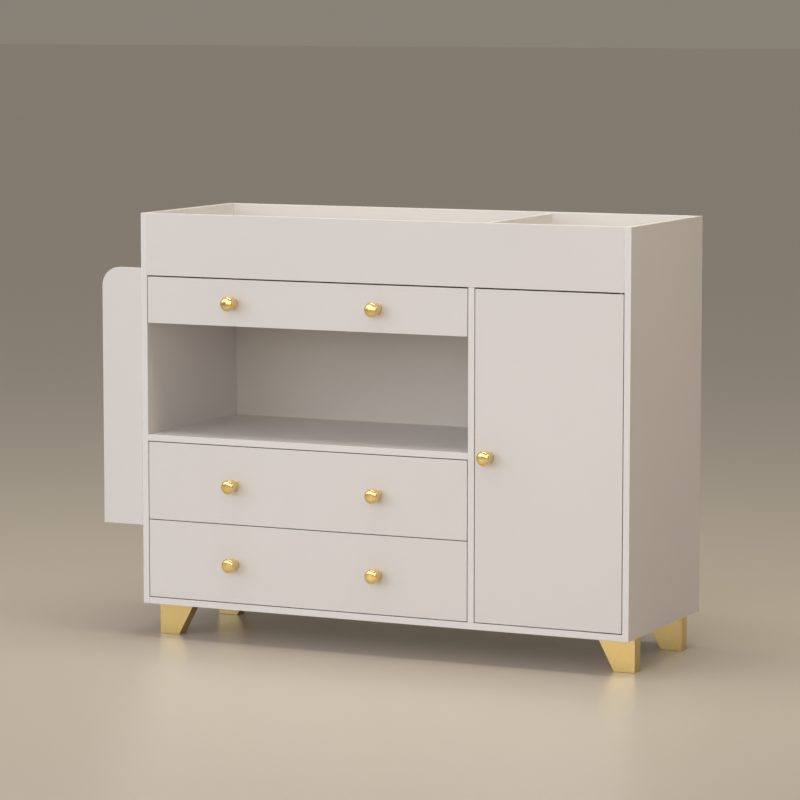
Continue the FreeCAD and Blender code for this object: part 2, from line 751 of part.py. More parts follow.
fill_sheet()
make_side_panels()
make_partition()
make_level_boards()
make_rails()
make_back()
make_cupboard_shelves()
make_cams()
make_dowels()
make_legs()
make_runners()
knob_shape = make_knob()
for each_drawer in DRAWERS:
    make_drawer(each_drawer)
    place_knobs(f"{each_drawer[0]}_knobs", knob_shape, knob_spots(each_drawer))
make_door()
place_knobs("door_knob", knob_shape, door_knob_spot())
make_catch()
make_side_shelf()
doc.recompute()
check_document()
write_pieces()
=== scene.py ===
import math
import bmesh
import bpy
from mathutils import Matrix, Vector


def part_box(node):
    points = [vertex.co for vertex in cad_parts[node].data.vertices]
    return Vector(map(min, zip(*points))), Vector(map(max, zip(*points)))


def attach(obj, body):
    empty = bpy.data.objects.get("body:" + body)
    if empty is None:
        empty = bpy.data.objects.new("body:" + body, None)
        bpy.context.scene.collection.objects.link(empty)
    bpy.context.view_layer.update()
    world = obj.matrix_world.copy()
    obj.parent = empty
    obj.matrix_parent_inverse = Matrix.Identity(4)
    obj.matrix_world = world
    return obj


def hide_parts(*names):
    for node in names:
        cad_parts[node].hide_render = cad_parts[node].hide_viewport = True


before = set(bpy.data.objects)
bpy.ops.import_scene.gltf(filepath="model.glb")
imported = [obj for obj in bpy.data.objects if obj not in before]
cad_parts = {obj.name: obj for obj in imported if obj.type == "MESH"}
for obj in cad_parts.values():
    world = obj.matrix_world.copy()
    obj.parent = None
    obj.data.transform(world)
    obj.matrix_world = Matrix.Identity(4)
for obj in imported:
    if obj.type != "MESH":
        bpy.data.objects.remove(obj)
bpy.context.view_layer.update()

mm = 0.001
drawers = ("drawer_top", "drawer_middle", "drawer_bottom")
print("frame loaded,", len(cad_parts), "nodes")


# Small helpers for node trees.

def addNode(tree, kind, **settings):
    node = tree.nodes.new(kind)
    for name, value in settings.items():
        setattr(node, name, value)
    return node


def newShaderGroup(name, inputs, outputs):
    group = bpy.data.node_groups.new(name, "ShaderNodeTree")
    kinds = {"value": "NodeSocketFloat", "colour": "NodeSocketColor"}
    for label, kind in inputs:
        group.interface.new_socket(name=label, in_out="INPUT", socket_type=kinds[kind])
    for label, kind in outputs:
        group.interface.new_socket(name=label, in_out="OUTPUT", socket_type=kinds[kind])
    return group, addNode(group, "NodeGroupInput"), addNode(group, "NodeGroupOutput")


def noiseAt(tree, coords, scale, detail=3.0, roughness=0.5):
    noise = addNode(tree, "ShaderNodeTexNoise")
    noise.inputs["Detail"].default_value = detail
    noise.inputs["Roughness"].default_value = roughness
    if isinstance(scale, (int, float)):
        noise.inputs["Scale"].default_value = scale
    else:
        tree.links.new(scale, noise.inputs["Scale"])
    tree.links.new(coords, noise.inputs["Vector"])
    return noise.outputs["Fac"]


def remap(tree, value, low, high, newLow, newHigh, curve="LINEAR"):
    # newLow and newHigh are numbers or sockets
    node = addNode(tree, "ShaderNodeMapRange", interpolation_type=curve)
    tree.links.new(value, node.inputs["Value"])
    node.inputs["From Min"].default_value = low
    node.inputs["From Max"].default_value = high
    for label, limit in (("To Min", newLow), ("To Max", newHigh)):
        if isinstance(limit, (int, float)):
            node.inputs[label].default_value = limit
        else:
            tree.links.new(limit, node.inputs[label])
    return node.outputs["Result"]


def mathOf(tree, operation, first, second):
    node = addNode(tree, "ShaderNodeMath", operation=operation)
    for socket, value in zip(node.inputs, (first, second)):
        if isinstance(value, (int, float)):
            socket.default_value = value
        else:
            tree.links.new(value, socket)
    return node.outputs[0]


def mixColours(tree, amount, first, second):
    # first and second are colours or sockets
    node = addNode(tree, "ShaderNodeMix", data_type="RGBA")
    tree.links.new(amount, node.inputs[0])
    for socket, colour in ((node.inputs[6], first), (node.inputs[7], second)):
        if isinstance(colour, tuple):
            socket.default_value = (*colour, 1)
        else:
            tree.links.new(colour, socket)
    return node.outputs[2]


# The view, the floor and the light.

cabinetCorner = Vector(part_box("side_panel_left")[0])

view = {
    "lens": 160.06,
    "fromCorner": (3.9714, -7.0961, 1.3897),
    "tilt": 83.54,
    "turn": 25.06,
    "farthest": 250,
}


def makeCamera():
    lens = bpy.data.cameras.new("viewCamera")
    lens.lens = view["lens"]
    lens.clip_end = view["farthest"]
    camera = bpy.data.objects.new("viewCamera", lens)
    camera.location = cabinetCorner + Vector(view["fromCorner"])
    camera.rotation_euler = (math.radians(view["tilt"]), 0, math.radians(view["turn"]))
    bpy.context.scene.collection.objects.link(camera)
    bpy.context.scene.camera = camera


# Softboxes: place, aim, width, height, power, colour and spread in degrees.
softboxes = {
    "keyLight": ((-4.2, -5.6, 2.8), (0.0, 0.0, 0.5), 5.0, 4.0, 88, (0.72, 0.83, 1.0), 180),
    "frontLight": ((2.0, -6.5, 2.6), (0.0, 0.0, 0.5), 3.0, 2.0, 45, (1.0, 1.0, 1.0), 180),
    "lowLight": ((-0.4, -4.4, 1.1), (-0.1, -0.2, 0.35), 4.0, 1.3, 28, (1.0, 1.0, 0.96), 180),
    "topLight": ((0.0, -0.1, 3.8), (0.0, 0.0, 0.8), 3.0, 2.0, 72, (1.0, 0.97, 0.80), 180),
    "sideStrip": ((4.0, -2.2, 1.3), (0.0, 0.0, 0.5), 0.25, 1.6, 3.5, (1.0, 0.9, 0.7), 180),
    "sideLight": ((1.95, -0.42, 1.95), (0.65, 0.0, 0.8), 0.5, 0.5, 1.8, (1.0, 0.93, 0.72), 100),
}

# The room: directions are shares of a unit vector, and dimmings are shares of full light.
room = {
    "front": (0.58, 0.57, 0.57), "rearLow": (0.31, 0.278, 0.232), "rearHigh": (0.255, 0.228, 0.188),
    "frontTurn": -0.6, "rearTurn": 0.3, "rearFade": 0.15, "horizon": 0.8, "clearAbove": 0.3,
    "sideTurn": 0.1, "sideDim": 0.56, "floor": (0.62, 0.55, 0.475), "floorRough": 0.34, "reach": 90,
}


def makeSky():
    # bright in front of the cabinet, warmer and dimmer behind it, and dimmer to its right
    world = bpy.data.worlds.new("studio")
    world.use_nodes = True
    tree = world.node_tree
    split = addNode(tree, "ShaderNodeSeparateXYZ")
    tree.links.new(addNode(tree, "ShaderNodeTexCoord").outputs["Generated"], split.inputs[0])
    behind = remap(tree, split.outputs["Y"], room["frontTurn"], room["rearTurn"], 0.0, 1.0, "SMOOTHSTEP")
    above = remap(tree, split.outputs["Z"], 0.0, room["rearFade"], 0.0, 1.0, "SMOOTHSTEP")
    rear = mixColours(tree, above, room["rearLow"], room["rearHigh"])
    lift = remap(tree, split.outputs["Z"], 0.0, room["clearAbove"], room["horizon"], 1.0)
    side = remap(tree, split.outputs["X"], room["sideTurn"], 1.0, 1.0, room["sideDim"])
    background = tree.nodes["Background"].inputs
    tree.links.new(mixColours(tree, behind, room["front"], rear), background["Color"])
    tree.links.new(mathOf(tree, "MULTIPLY", lift, side), background["Strength"])
    bpy.context.scene.world = world


def makeLight():
    for name, (place, aim, wide, tall, power, colour, spread) in softboxes.items():
        lamp = bpy.data.lights.new(name, "AREA")
        lamp.shape = "RECTANGLE"
        lamp.size = wide
        lamp.size_y = tall
        lamp.energy = power
        lamp.color = colour
        lamp.spread = math.radians(spread)
        holder = bpy.data.objects.new(name, lamp)
        holder.location = place
        holder.rotation_euler = (Vector(aim) - Vector(place)).to_track_quat("-Z", "Y").to_euler()
        holder.visible_camera = False
        bpy.context.scene.collection.objects.link(holder)
    makeSky()
    bpy.context.scene.view_settings.view_transform = "Standard"


def makeFloor():
    reach = room["reach"]
    mesh = bpy.data.meshes.new("floor")
    corners = [(-reach, -reach, 0), (reach, -reach, 0), (reach, reach, 0), (-reach, reach, 0)]
    mesh.from_pydata(corners, [], [(0, 1, 2, 3)])
    floor = bpy.data.objects.new("floor", mesh)
    paint = bpy.data.materials.new("paleFloor")
    paint.use_nodes = True
    shader = paint.node_tree.nodes["Principled BSDF"]
    shader.inputs["Base Color"].default_value = (*room["floor"], 1)
    shader.inputs["Roughness"].default_value = room["floorRough"]
    mesh.materials.append(paint)
    bpy.context.scene.collection.objects.link(floor)


makeCamera()
makeLight()
makeFloor()
print("view, light and floor set")


# Shader groups that several finishes share.

noiseBand = (0.35, 0.65)  # where the values of a noise mostly lie


def makeSurfaceGroup():
    # slow patches of tone and gloss over a fine sprayed or rolled texture
    inputs = [("Base", "colour"), ("Patch", "colour"), ("Patch Scale", "value"), ("Skin Scale", "value"),
              ("Rough Low", "value"), ("Rough High", "value")]
    outputs = [("Colour", "colour"), ("Roughness", "value"), ("Height", "value")]
    group, given, result = newShaderGroup("surfaceSkin", inputs, outputs)
    coords = addNode(group, "ShaderNodeTexCoord").outputs["Object"]
    patches = noiseAt(group, coords, given.outputs["Patch Scale"], 4.0)
    skin = noiseAt(group, coords, given.outputs["Skin Scale"], 2.0)
    tone = remap(group, patches, *noiseBand, 0.0, 1.0)
    group.links.new(mixColours(group, tone, given.outputs["Base"], given.outputs["Patch"]),
                    result.inputs["Colour"])
    gloss = mathOf(group, "ADD", mathOf(group, "MULTIPLY", patches, 0.6),
                   mathOf(group, "MULTIPLY", skin, 0.4))
    rough = remap(group, gloss, *noiseBand, given.outputs["Rough Low"], given.outputs["Rough High"])
    group.links.new(rough, result.inputs["Roughness"])
    group.links.new(skin, result.inputs["Height"])
    return group


def makeEdgeGroup():
    # rubbed edges and a painted edge highlight: the band of each rounded edge takes the edge colour, broken
    # up by noise
    inputs = [("Colour", "colour"), ("Worn", "colour"), ("Amount", "value"), ("Breakup Scale", "value")]
    group, given, result = newShaderGroup("edgeWear", inputs, [("Colour", "colour"), ("Mask", "value")])
    band = addNode(group, "ShaderNodeAttribute", attribute_name="edgeBand").outputs["Fac"]
    coords = addNode(group, "ShaderNodeTexCoord").outputs["Object"]
    flecks = noiseAt(group, coords, given.outputs["Breakup Scale"], 5.0, 0.65)
    breakup = remap(group, flecks, 0.38, 0.62, 0.15, 1.0)
    mask = mathOf(group, "MULTIPLY", mathOf(group, "MULTIPLY", band, breakup), given.outputs["Amount"])
    group.links.new(mixColours(group, mask, given.outputs["Colour"], given.outputs["Worn"]),
                    result.inputs["Colour"])
    group.links.new(mask, result.inputs["Mask"])
    return group


def makeDustGroup():
    # a thin film of dust on what faces up
    inputs = [("Colour", "colour"), ("Dust", "colour"), ("Roughness", "value"), ("Amount", "value")]
    outputs = [("Colour", "colour"), ("Roughness", "value")]
    group, given, result = newShaderGroup("settledDust", inputs, outputs)
    facing = addNode(group, "ShaderNodeSeparateXYZ")
    group.links.new(addNode(group, "ShaderNodeNewGeometry").outputs["Normal"], facing.inputs[0])
    coords = addNode(group, "ShaderNodeTexCoord").outputs["Object"]
    upward = remap(group, facing.outputs["Z"], 0.6, 1.0, 0.0, 1.0)
    clumps = remap(group, noiseAt(group, coords, 38.0, 6.0, 0.7), 0.42, 0.7, 0.25, 1.0)
    mask = mathOf(group, "MULTIPLY", mathOf(group, "MULTIPLY", upward, clumps), given.outputs["Amount"])
    group.links.new(mixColours(group, mask, given.outputs["Colour"], given.outputs["Dust"]),
                    result.inputs["Colour"])
    group.links.new(mathOf(group, "ADD", given.outputs["Roughness"], mathOf(group, "MULTIPLY", mask, 0.35)),
                    result.inputs["Roughness"])
    return group


def makeGrainGroup():
    # lines drawn out along one axis: brushing on metal, fibre in board, figure in wood
    inputs = [("Along", "value"), ("Across", "value"), ("Low", "value"), ("High", "value")]
    group, given, result = newShaderGroup("drawnGrain", inputs, [("Value", "value"), ("Height", "value")])
    coords = addNode(group, "ShaderNodeTexCoord").outputs["Object"]
    split = addNode(group, "ShaderNodeSeparateXYZ")
    group.links.new(coords, split.inputs[0])
    stretched = addNode(group, "ShaderNodeCombineXYZ")
    for axis, density in (("X", "Across"), ("Y", "Along"), ("Z", "Across")):
        group.links.new(mathOf(group, "MULTIPLY", split.outputs[axis], given.outputs[density]),
                        stretched.inputs[axis])
    lines = noiseAt(group, stretched.outputs[0], 1.0, 4.0, 0.6)
    group.links.new(remap(group, lines, 0.3, 0.7, given.outputs["Low"], given.outputs["High"]),
                    result.inputs["Value"])
    group.links.new(lines, result.inputs["Height"])
    return group


surfaceGroup = makeSurfaceGroup()
edgeGroup = makeEdgeGroup()
dustGroup = makeDustGroup()
grainGroup = makeGrainGroup()
print("shader groups built")


# Finishes.

def useGroup(tree, group, **values):
    # a colour or number sets the socket, another node's socket is linked to it
    node = addNode(tree, "ShaderNodeGroup", node_tree=group)
    for name, value in values.items():
        label = "".join(" " + letter if letter.isupper() else letter for letter in name)
        socket = node.inputs[label[0].upper() + label[1:]]
        if isinstance(value, bpy.types.NodeSocket):
            tree.links.new(value, socket)
        elif isinstance(value, tuple):
            socket.default_value = (*value, 1)
        else:
            socket.default_value = value
    return node


def startFinish(name, constants):
    finish = bpy.data.materials.new(name)
    finish.use_nodes = True
    tree = finish.node_tree
    shader = tree.nodes["Principled BSDF"]
    for socket, value in constants.items():
        shader.inputs[socket].default_value = value
    return finish, tree, shader


def addBump(tree, shader, height, strength, distance):
    bump = addNode(tree, "ShaderNodeBump")
    bump.inputs["Strength"].default_value = strength
    bump.inputs["Distance"].default_value = distance
    tree.links.new(height, bump.inputs["Height"])
    tree.links.new(bump.outputs["Normal"], shader.inputs["Normal"])


def boardFinish(name, look):
    # skin, then rubbed edges with a painted edge highlight, then dust
    finish, tree, shader = startFinish(name, {"IOR": look["ior"]})
    skin = useGroup(tree, surfaceGroup, base=look["base"], patch=look["patch"], patchScale=look["patchScale"],
                    skinScale=look["skinScale"], roughLow=look["roughLow"], roughHigh=look["roughHigh"])
    taped = addNode(tree, "ShaderNodeAttribute", attribute_name="edgeTape").outputs["Fac"]
    edged = mixColours(tree, taped, skin.outputs["Colour"], look["tape"])
    worn = useGroup(tree, edgeGroup, colour=edged, worn=look["worn"],
                    amount=look["wearAndHighlightAmount"], breakupScale=look["wearAndHighlightScale"])
    dusty = useGroup(tree, dustGroup, colour=worn.outputs["Colour"], dust=look["dust"],
                     roughness=skin.outputs["Roughness"], amount=look["dustAmount"])
    tree.links.new(dusty.outputs["Colour"], shader.inputs["Base Color"])
    tree.links.new(dusty.outputs["Roughness"], shader.inputs["Roughness"])
    addBump(tree, shader, skin.outputs["Height"], look["bump"], look["bumpDepth"])
    return finish


def metalFinish(name, look):
    # plated or polished metal with faint brushing and brighter edges, which are rubbed metal and a painted
    # highlight
    finish, tree, shader = startFinish(name, {"Metallic": 1.0})
    skin = useGroup(tree, surfaceGroup, base=look["base"], patch=look["patch"], patchScale=look["patchScale"],
                    skinScale=look["skinScale"], roughLow=look["roughLow"], roughHigh=look["roughHigh"])
    grain = useGroup(tree, grainGroup, along=look["along"], across=look["across"], low=-look["grain"],
                     high=look["grain"])
    worn = useGroup(tree, edgeGroup, colour=skin.outputs["Colour"], worn=look["worn"],
                    amount=look["wearAndHighlightAmount"], breakupScale=look["wearAndHighlightScale"])
    tree.links.new(worn.outputs["Colour"], shader.inputs["Base Color"])
    rough = mathOf(tree, "ADD", skin.outputs["Roughness"], grain.outputs["Value"])
    tree.links.new(rough, shader.inputs["Roughness"])
    addBump(tree, shader, grain.outputs["Height"], look["bump"], look["bumpDepth"])
    return finish


# On the white boards, the drawer boxes and the catch the rubbed-edge colour is lighter than the surface: a
# painted highlight along the rounded edges. The hardboard's brown edge colour is rubbed board.
whiteLacquer = boardFinish("whiteLacquer", {
    "base": (0.765, 0.722, 0.704), "patch": (0.75, 0.706, 0.687), "patchScale": 2.4, "skinScale": 620,
    "roughLow": 0.36, "roughHigh": 0.5, "ior": 1.46, "worn": (0.90, 0.87, 0.84), "wearAndHighlightAmount": 0.5,
    "wearAndHighlightScale": 60, "dust": (0.62, 0.58, 0.53), "dustAmount": 0.12, "bump": 0.10, "bumpDepth": 0.0002,
    "tape": (0.80, 0.765, 0.75)})

drawerMelamine = boardFinish("drawerMelamine", {
    "base": (0.74, 0.715, 0.69), "patch": (0.71, 0.685, 0.66), "patchScale": 5, "skinScale": 1100,
    "roughLow": 0.5, "roughHigh": 0.62, "ior": 1.45, "worn": (0.83, 0.80, 0.76), "wearAndHighlightAmount": 0.6,
    "wearAndHighlightScale": 90, "dust": (0.6, 0.56, 0.5), "dustAmount": 0.16, "bump": 0.2, "bumpDepth": 0.0002,
    "tape": (0.77, 0.75, 0.725)})

paintedHardboard = boardFinish("paintedHardboard", {
    "base": (0.68, 0.63, 0.575), "patch": (0.65, 0.60, 0.545), "patchScale": 3, "skinScale": 420,
    "roughLow": 0.55, "roughHigh": 0.75, "ior": 1.45, "worn": (0.48, 0.36, 0.24), "wearAndHighlightAmount": 0.7,
    "wearAndHighlightScale": 120, "dust": (0.58, 0.54, 0.48), "dustAmount": 0.1, "bump": 0.35, "bumpDepth": 0.0003,
    "tape": (0.42, 0.31, 0.21)})

catchPlastic = boardFinish("catchPlastic", {
    "base": (0.80, 0.79, 0.77), "patch": (0.77, 0.76, 0.74), "patchScale": 40, "skinScale": 2400,
    "roughLow": 0.34, "roughHigh": 0.46, "ior": 1.5, "worn": (0.88, 0.87, 0.85), "wearAndHighlightAmount": 0.4,
    "wearAndHighlightScale": 200, "dust": (0.6, 0.57, 0.52), "dustAmount": 0.1, "bump": 0.15, "bumpDepth": 0.0001,
    "tape": (0.82, 0.81, 0.79)})

legGold = metalFinish("legGold", {
    "base": (0.79, 0.585, 0.245), "patch": (0.765, 0.56, 0.225), "patchScale": 9, "skinScale": 2600,
    "roughLow": 0.26, "roughHigh": 0.32, "along": 60, "across": 2200, "grain": 0.015,
    "worn": (0.97, 0.84, 0.55), "wearAndHighlightAmount": 0.7, "wearAndHighlightScale": 140, "bump": 0.03, "bumpDepth": 0.0001})

knobGold = metalFinish("knobGold", {
    "base": (0.86, 0.645, 0.25), "patch": (0.83, 0.605, 0.22), "patchScale": 60, "skinScale": 900,
    "roughLow": 0.09, "roughHigh": 0.17, "along": 2500, "across": 300, "grain": 0.02,
    "worn": (1.0, 0.84, 0.5), "wearAndHighlightAmount": 0.5, "wearAndHighlightScale": 300, "bump": 0.03, "bumpDepth": 0.0001})

zincSteel = metalFinish("zincSteel", {
    "base": (0.62, 0.63, 0.65), "patch": (0.55, 0.56, 0.59), "patchScale": 45, "skinScale": 700,
    "roughLow": 0.26, "roughHigh": 0.42, "along": 30, "across": 1800, "grain": 0.06,
    "worn": (0.80, 0.80, 0.80), "wearAndHighlightAmount": 0.6, "wearAndHighlightScale": 160, "bump": 0.12, "bumpDepth": 0.0001})

castZinc = metalFinish("castZinc", {
    "base": (0.50, 0.50, 0.51), "patch": (0.42, 0.42, 0.44), "patchScale": 160, "skinScale": 1500,
    "roughLow": 0.38, "roughHigh": 0.55, "along": 700, "across": 700, "grain": 0.05,
    "worn": (0.72, 0.72, 0.72), "wearAndHighlightAmount": 0.7, "wearAndHighlightScale": 260, "bump": 0.3, "bumpDepth": 0.0002})


beechLook = {"pale": (0.64, 0.44, 0.26), "dark": (0.47, 0.29, 0.15), "along": 900, "across": 160,
             "rough": 0.62, "bump": 0.3, "bumpDepth": 0.0002}


def makeBeech():
    finish, tree, shader = startFinish("beech", {"Roughness": beechLook["rough"]})
    grain = useGroup(tree, grainGroup, along=beechLook["along"], across=beechLook["across"],
                     low=0.0, high=1.0)
    tones = addNode(tree, "ShaderNodeValToRGB")
    tones.color_ramp.elements[0].color = (*beechLook["dark"], 1)
    tones.color_ramp.elements[1].color = (*beechLook["pale"], 1)
    tree.links.new(grain.outputs["Value"], tones.inputs["Fac"])
    tree.links.new(tones.outputs["Color"], shader.inputs["Base Color"])
    addBump(tree, shader, grain.outputs["Height"], beechLook["bump"], beechLook["bumpDepth"])
    return finish


beech = makeBeech()
print("finishes made:", len(bpy.data.materials))


# Making pieces.

def placePiece(name, mesh, finish, body, nodes=()):
    mesh.name = name
    mesh.materials.clear()
    mesh.materials.append(finish)
    piece = bpy.data.objects.new(name, mesh)
    bpy.context.scene.collection.objects.link(piece)
    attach(piece, body)
    if nodes:
        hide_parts(*nodes)
    return piece


reading = {"mergeWithin": 0.002, "flatWithin": 0.4, "sharpFrom": 25, "smallestTape": 2e-6}


def mergedShape(node):
    shape = bmesh.new()
    shape.from_mesh(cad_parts[node].data)
    bmesh.ops.remove_doubles(shape, verts=shape.verts, dist=reading["mergeWithin"] * mm)
    return shape


def nodeShape(node):
    # a node's form with its loose triangles merged and its flat faces whole
    shape = mergedShape(node)
    bmesh.ops.dissolve_limit(shape, angle_limit=math.radians(reading["flatWithin"]), verts=shape.verts,
                             edges=shape.edges)
    return shape


def softenEdges(shape, width, segments, shortest=2.5):
    # rounds the long sharp edges, and marks the rounding for the wear and the painted highlight on it
    band = shape.loops.layers.float.new("edgeBand")
    sharp = [edge for edge in shape.edges
             if edge.is_manifold and edge.calc_face_angle(0) > math.radians(reading["sharpFrom"])
             and edge.calc_length() > shortest * mm]
    for face in shape.faces:
        face.smooth = False
    made = bmesh.ops.bevel(shape, geom=sharp, offset=width * mm, segments=segments, profile=0.5,
                           affect="EDGES", clamp_overlap=True)
    for face in made["faces"]:
        face.smooth = True
        for loop in face.loops:
            loop[band] = 1.0


def markTape(shape, thick):
    # the narrow faces, which carry an edging tape
    tape = shape.loops.layers.float.new("edgeTape")
    for face in shape.faces:
        if face.calc_area() < reading["smallestTape"]:
            continue
        spots = [vertex.co for vertex in face.verts]
        spans = sorted(max(spot[axis] for spot in spots) - min(spot[axis] for spot in spots)
                       for axis in range(3))
        if spans[0] < 0.05 * mm and 0.75 * thick * mm < spans[1] < 1.01 * thick * mm:
            for loop in face.loops:
                loop[tape] = 1.0


def meshFrom(shape, name):
    mesh = bpy.data.meshes.new(name)
    shape.to_mesh(mesh)
    shape.free()
    return mesh


def boardPiece(node, look, finish, body):
    shape = nodeShape(node)
    softenEdges(shape, look["round"], look["segments"])
    if "tape" in look:
        markTape(shape, look["tape"])
    return placePiece(node + "_board", meshFrom(shape, node), finish, body, [node])


def solidBoxes(node):
    # the lowest and highest corner of each separate solid in a node
    shape = mergedShape(node)
    seen = set()
    boxes = []
    for start in shape.verts:
        if start in seen:
            continue
        seen.add(start)
        found = [start]
        for vertex in found:
            for edge in vertex.link_edges:
                other = edge.other_vert(vertex)
                if other not in seen:
                    seen.add(other)
                    found.append(other)
        low = Vector([min(vertex.co[axis] for vertex in found) for axis in range(3)])
        high = Vector([max(vertex.co[axis] for vertex in found) for axis in range(3)])
        boxes.append((low, high))
    shape.free()
    return boxes


def smoothProfile(points, steps):
    # a Catmull-Rom curve through (radius, height) points
    padded = [points[0]] + list(points) + [points[-1]]
    curve = []
    for place in range(1, len(padded) - 2):
        before, start, end, after = padded[place - 1:place + 3]
        for step in range(steps):
            t = step / steps
            curve.append(tuple(
                0.5 * (2 * b + (c - a) * t + (2 * a - 5 * b + 4 * c - d) * t * t
                       + (3 * b - a - 3 * c + d) * t ** 3)
                for a, b, c, d in zip(before, start, end, after)))
    curve.append(points[-1])
    return curve


def ringAt(shape, radius, height, sides):
    ring = []
    for side in range(sides):
        angle = 2 * math.pi * side / sides
        spot = (radius * math.cos(angle), radius * math.sin(angle), height)
        ring.append(shape.verts.new([value * mm for value in spot]))
    return ring


def bridge(shape, lower, upper, smooth=True):
    sides = len(lower)
    for side in range(sides):
        after = (side + 1) % sides
        face = shape.faces.new((lower[side], lower[after], upper[after], upper[side]))
        face.smooth = smooth


def latheShape(profile, sides):
    # a closed round form: rings up the profile, with a flat or pointed end below and above
    shape = bmesh.new()
    rings = [ringAt(shape, radius, height, sides) for radius, height in profile]
    for lower, upper in zip(rings, rings[1:]):
        bridge(shape, lower, upper)
    shape.faces.new(list(reversed(rings[0])))
    return shape, rings[-1]


recessShapes = {"cross": (4, 0.30), "hex": (6, None)}  # arms, and the waist between them
recessTip = 0.72  # how far from the middle of a waist an arm starts
recessTaper = 0.8


def recessRadius(kind, angle, reach):
    # how far a driver's recess spreads at an angle
    arms, waist = recessShapes[kind]
    turn = (angle * arms / (2 * math.pi)) % 1.0
    off = abs(turn - 0.5) * 2
    if waist is None:
        half = math.pi / arms
        return reach * math.cos(half) / math.cos((turn - 0.5) * 2 * half)
    return reach if off > recessTip else reach * waist


def closeWithRecess(shape, ring, height, kind, reach, depth):
    # a flat end with a driver's recess sunk in it
    sides = len(ring)
    mouth = []
    floor = []
    for side in range(sides):
        angle = 2 * math.pi * side / sides
        radius = recessRadius(kind, angle, reach) * mm
        spot = (radius * math.cos(angle), radius * math.sin(angle))
        mouth.append(shape.verts.new((*spot, height * mm)))
        floor.append(shape.verts.new((recessTaper * spot[0], recessTaper * spot[1], (height - depth) * mm)))
    bridge(shape, ring, mouth, smooth=False)
    bridge(shape, mouth, floor, smooth=False)
    shape.faces.new(floor)


def markBand(shape, low, high):
    # wear and painted highlight on the faces between two heights
    band = shape.loops.layers.float.new("edgeBand")
    for face in shape.faces:
        middle = face.calc_center_median().z / mm
        for loop in face.loops:
            loop[band] = 1.0 if low < middle < high else 0.0


def threadedShank(length, radius, pitch):
    # a shank as a stack of ridges, from its tip up to the head at height 0
    turns = int(length / pitch)
    profile = [(0.35 * radius, -length)]
    for turn in range(turns):
        base = -length + turn * pitch
        profile += [(0.86 * radius, base + 0.25 * pitch), (radius, base + 0.6 * pitch)]
    profile.append((0.86 * radius, -0.1))
    return profile


def screwMaster(name, look):
    profile = threadedShank(look["length"], look["shank"], look["pitch"])
    head, tall = look["head"], look["tall"]
    profile += [(0.98 * head, 0.0), (head, 0.12 * tall), (head, 0.55 * tall), (0.93 * head, 0.85 * tall),
                (0.80 * head, tall)]
    shape, top = latheShape(profile, look["sides"])
    closeWithRecess(shape, top, tall, look["drive"], look["reach"], look["sink"])
    markBand(shape, 0.5 * tall, tall)
    return meshFrom(shape, name)


# One Geometry Nodes tree sets out every repeated piece: rows of copies from each starting point.

def makeRowsTree():
    tree = bpy.data.node_groups.new("copiesInRows", "GeometryNodeTree")
    sockets = [("Starts", "NodeSocketGeometry"), ("Copy", "NodeSocketObject"), ("Count", "NodeSocketInt"),
               ("Step", "NodeSocketVector"), ("Facing", "NodeSocketVector"), ("Twist", "NodeSocketFloat"),
               ("Seed", "NodeSocketInt"), ("Finish", "NodeSocketMaterial")]
    for label, kind in sockets:
        tree.interface.new_socket(name=label, in_out="INPUT", socket_type=kind)
    tree.interface.new_socket(name="Result", in_out="OUTPUT", socket_type="NodeSocketGeometry")
    given = addNode(tree, "NodeGroupInput").outputs
    result = addNode(tree, "NodeGroupOutput").inputs["Result"]
    line = addNode(tree, "GeometryNodeMeshLine")
    starts = addNode(tree, "GeometryNodeInstanceOnPoints")
    rows = addNode(tree, "GeometryNodeRealizeInstances")
    source = addNode(tree, "GeometryNodeObjectInfo")
    copies = addNode(tree, "GeometryNodeInstanceOnPoints")
    twist = addNode(tree, "FunctionNodeRandomValue", data_type="FLOAT")
    turn = addNode(tree, "ShaderNodeCombineXYZ")
    spin = addNode(tree, "GeometryNodeRotateInstances")
    whole = addNode(tree, "GeometryNodeRealizeInstances")
    painted = addNode(tree, "GeometryNodeSetMaterial")
    floatInputs = {socket.name: socket for socket in twist.inputs if socket.type == "VALUE"}
    floatOutput = next(socket for socket in twist.outputs if socket.type == "VALUE")
    for start, end in (
            (given["Count"], line.inputs["Count"]), (given["Step"], line.inputs["Offset"]),
            (given["Starts"], starts.inputs["Points"]), (line.outputs["Mesh"], starts.inputs["Instance"]),
            (starts.outputs["Instances"], rows.inputs["Geometry"]),
            (given["Copy"], source.inputs["Object"]),
            (rows.outputs["Geometry"], copies.inputs["Points"]),
            (source.outputs["Geometry"], copies.inputs["Instance"]),
            (given["Facing"], copies.inputs["Rotation"]),
            (given["Twist"], floatInputs["Max"]), (given["Seed"], twist.inputs["Seed"]),
            (floatOutput, turn.inputs["Z"]),
            (copies.outputs["Instances"], spin.inputs["Instances"]),
            (turn.outputs[0], spin.inputs["Rotation"]),
            (spin.outputs["Instances"], whole.inputs["Geometry"]),
            (whole.outputs["Geometry"], painted.inputs["Geometry"]),
            (given["Finish"], painted.inputs["Material"]),
            (painted.outputs["Geometry"], result)):
        tree.links.new(start, end)
    return tree


rowsTree = makeRowsTree()
masters = {}


